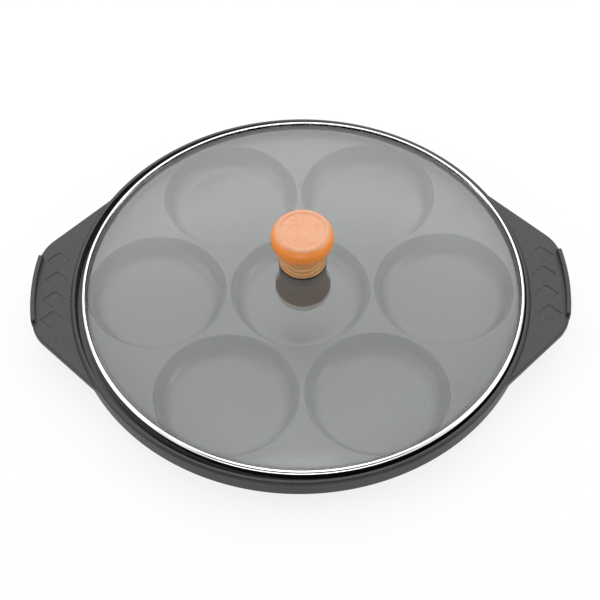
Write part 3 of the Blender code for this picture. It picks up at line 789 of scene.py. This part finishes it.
# Camera
# It looks down on the pan's front at 53 degrees, a little turned and tilted, from 0.8 m. It aims at a point
# just over the plate and 8 mm in front of the pan's middle.

CAMERA_TURN = math.radians(0.126)
CAMERA_ELEVATION = math.radians(52.941)
CAMERA_TILT = math.radians(-0.841)
CAMERA_DISTANCE = 807.5 * MM
CAMERA_TARGET = Vector((-0.03, -8.06, 17.7)) * MM
LENS = 89.17
SENSOR = 36.0
NEAR_LIMIT = 50.0 * MM
HALF_PIXEL = 0.27 * MM

back = Vector(
    (
        math.sin(CAMERA_TURN) * math.cos(CAMERA_ELEVATION),
        -math.cos(CAMERA_TURN) * math.cos(CAMERA_ELEVATION),
        math.sin(CAMERA_ELEVATION),
    )
)
level = Vector((math.cos(CAMERA_TURN), math.sin(CAMERA_TURN), 0))
rise = back.cross(level)
right = math.cos(CAMERA_TILT) * level + math.sin(CAMERA_TILT) * rise
up = math.cos(CAMERA_TILT) * rise - math.sin(CAMERA_TILT) * level
camera = bpy.data.objects.new("camera", bpy.data.cameras.new("camera"))
camera.data.lens = LENS
camera.data.sensor_width = SENSOR
camera.data.clip_start = NEAR_LIMIT
camera.matrix_world = Matrix((right, up, back)).transposed().to_4x4()
camera.location = CAMERA_TARGET + back * CAMERA_DISTANCE + (up - right) * HALF_PIXEL
bpy.context.scene.collection.objects.link(camera)
bpy.context.scene.camera = camera


# Studio
# A large softbox slopes up behind the pan, a smaller one hangs over its front, and panels stand at the
# sides and low in front. Floor and room look white, but for a dark card on the camera's side.

# A softbox's level, by edge from its middle, at 0, to its rim, at 1, and by rise from its foot to its top
SOFT_EDGE = (0, 1), (0.6, 0.96), (0.75, 0.84), (0.85, 0.72), (0.92, 0.48), (1, 0.1)
TOP_EDGE = (0, 1), (0.6, 0.85), (1, 0)
EVEN_RISE = (0, 1), (1, 1)
REAR_RISE = (
    (0, 0.36),
    (0.1, 0.56),
    (0.2, 0.7),
    (0.33, 0.93),
    (0.42, 0.86),
    (0.5, 0.84),
    (0.65, 0.84),
    (0.8, 0.97),
    (1, 1),
)


def add_softbox(name, size, distance, turn, elevation, radiance, edge=SOFT_EDGE, rise=EVEN_RISE):
    """An oval area lamp that faces the pan, at a turn from +Y and an elevation in degrees."""
    turn, elevation = math.radians(turn), math.radians(elevation)
    away = Vector(
        (math.sin(turn) * math.cos(elevation), math.cos(turn) * math.cos(elevation), math.sin(elevation))
    )
    lamp = bpy.data.lights.new(name, "AREA")
    lamp.shape = "ELLIPSE"
    lamp.size, lamp.size_y = size
    lamp.energy = math.pi * size[0] * size[1] * radiance
    lamp.use_nodes = True
    cloth = lamp.node_tree.nodes["Emission"]
    spot = Wire(cloth.outputs[0]).node("ShaderNodeNewGeometry", output=5)
    height = spot.node("ShaderNodeSeparateXYZ", inputs={0: spot}, output=1)
    feed(cloth.inputs["Strength"], (from_axis(spot, (0.5, 0.5, 0)) * 2).steps(*edge) * height.steps(*rise))
    obj = bpy.data.objects.new(name, lamp)
    obj.location = away * distance
    obj.rotation_euler = away.to_track_quat("Z", "Y").to_euler()
    bpy.context.scene.collection.objects.link(obj)


add_softbox("rear_softbox", (2.9, 3.5), distance=1.6, turn=0, elevation=58, radiance=2.02, rise=REAR_RISE)
add_softbox("top_softbox", (1.2, 0.65), distance=1.55, turn=180, elevation=75, radiance=1.2, edge=TOP_EDGE)
for name, turn in (("left_panel", -95), ("right_panel", 95)):
    add_softbox(name, (1.0, 0.8), distance=1.5, turn=turn, elevation=28, radiance=3.2)
add_softbox("front_panel", (2.4, 0.2), distance=1.5, turn=180, elevation=4.5, radiance=5.5)

AMBIENT = 0.15
CARD_DIRECTION = (0, -0.669, 0.743)
CARD_GREY = 0.05

# Cosines of the angles from the card's middle at which it has faded out and is full
CARD_OUTER = 0.766
CARD_INNER = 0.839


def sees_background(wire, share=1):
    """1 for rays from the camera, the given share for rays through glass or off gloss, 0 for light that has
    been scattered, also where it then goes through glass."""
    straight = wire.node("ShaderNodeLightPath", output="Is Camera Ray")
    glossy = wire.node("ShaderNodeLightPath", output="Is Glossy Ray")
    through = wire.node("ShaderNodeLightPath", output="Is Transmission Ray")
    scattered = wire.node("ShaderNodeLightPath", output="Diffuse Depth")
    unscattered = wire.maths("LESS_THAN", scattered, 0.5)
    return wire.maths("MINIMUM", straight + (through + glossy) * share * unscattered, 1)


world = bpy.data.worlds.new("studio")
bpy.context.scene.world = world
world.use_nodes = True
ambient = world.node_tree.nodes["Background"]
ambient.inputs["Color"].default_value = (AMBIENT, AMBIENT, AMBIENT, 1)
room = Wire(ambient.outputs[0])
heading = room.node("ShaderNodeTexCoord", output="Generated")
pair = {0: heading, 1: CARD_DIRECTION}
nearness = room.node("ShaderNodeVectorMath", {"operation": "DOT_PRODUCT"}, pair, output=1)
limits = {0: nearness, 1: CARD_OUTER, 2: CARD_INNER, 3: 1, 4: CARD_GREY}
whiteness = room.node("ShaderNodeMapRange", inputs=limits)
white = room.node("ShaderNodeBackground", inputs={"Color": (1, 1, 1, 1), "Strength": 1.0})
seen = room.node("ShaderNodeMixShader", inputs={0: sees_background(room, whiteness), 1: room, 2: white})
feed(world.node_tree.nodes["World Output"].inputs["Surface"], seen)

FLOOR_SIZE = 6.0
FLOOR_SQUARES = 12
FLOOR_DROP = 0.1 * MM
PAPER_GREY = (0.80, 0.80, 0.80)
PAPER_WHITE = (0.83, 0.83, 0.83)
PAPER_FIBRE_SCALE = 400

# The paper glows by this share as far as the near limit, and wholly from the far limit outwards
WHITE_SHARE = 0.85
SHADOW_NEAR = 0.25
SHADOW_FAR = 0.7

bm = bmesh.new()
bmesh.ops.create_grid(bm, x_segments=FLOOR_SQUARES, y_segments=FLOOR_SQUARES, size=FLOOR_SIZE / 2)
floor_mesh = bpy.data.meshes.new("floor")
bm.to_mesh(floor_mesh)
bm.free()
paper, sockets, place = new_finish("white_paper", Roughness=0.9, Specular_IOR_Level=0.0)
fibres = place.noise(PAPER_FIBRE_SCALE, detail=3)
feed(sockets["Base Color"], fibres.between(PAPER_GREY, PAPER_WHITE))
glow = place.node("ShaderNodeEmission", inputs={"Color": (1, 1, 1, 1), "Strength": 1.0})
shader = Wire(paper.node_tree.nodes["Principled BSDF"].outputs[0])
far = (from_axis(place, (0, 0, 0)) - SHADOW_NEAR) / (SHADOW_FAR - SHADOW_NEAR)
terms = {0: far * (1 - WHITE_SHARE), 1: WHITE_SHARE}
share = place.node("ShaderNodeMath", {"operation": "ADD", "use_clamp": True}, terms)
share = place.maths("MAXIMUM", share, WHITE_SHARE) * sees_background(place)
lit = place.node("ShaderNodeMixShader", inputs={0: share, 1: shader, 2: glow})
feed(paper.node_tree.nodes["Material Output"].inputs["Surface"], lit)
floor_mesh.materials.append(paper)
floor = bpy.data.objects.new("floor", floor_mesh)
floor.location.z = -FLOOR_DROP
bpy.context.scene.collection.objects.link(floor)

bpy.context.scene.view_settings.view_transform = "Standard"
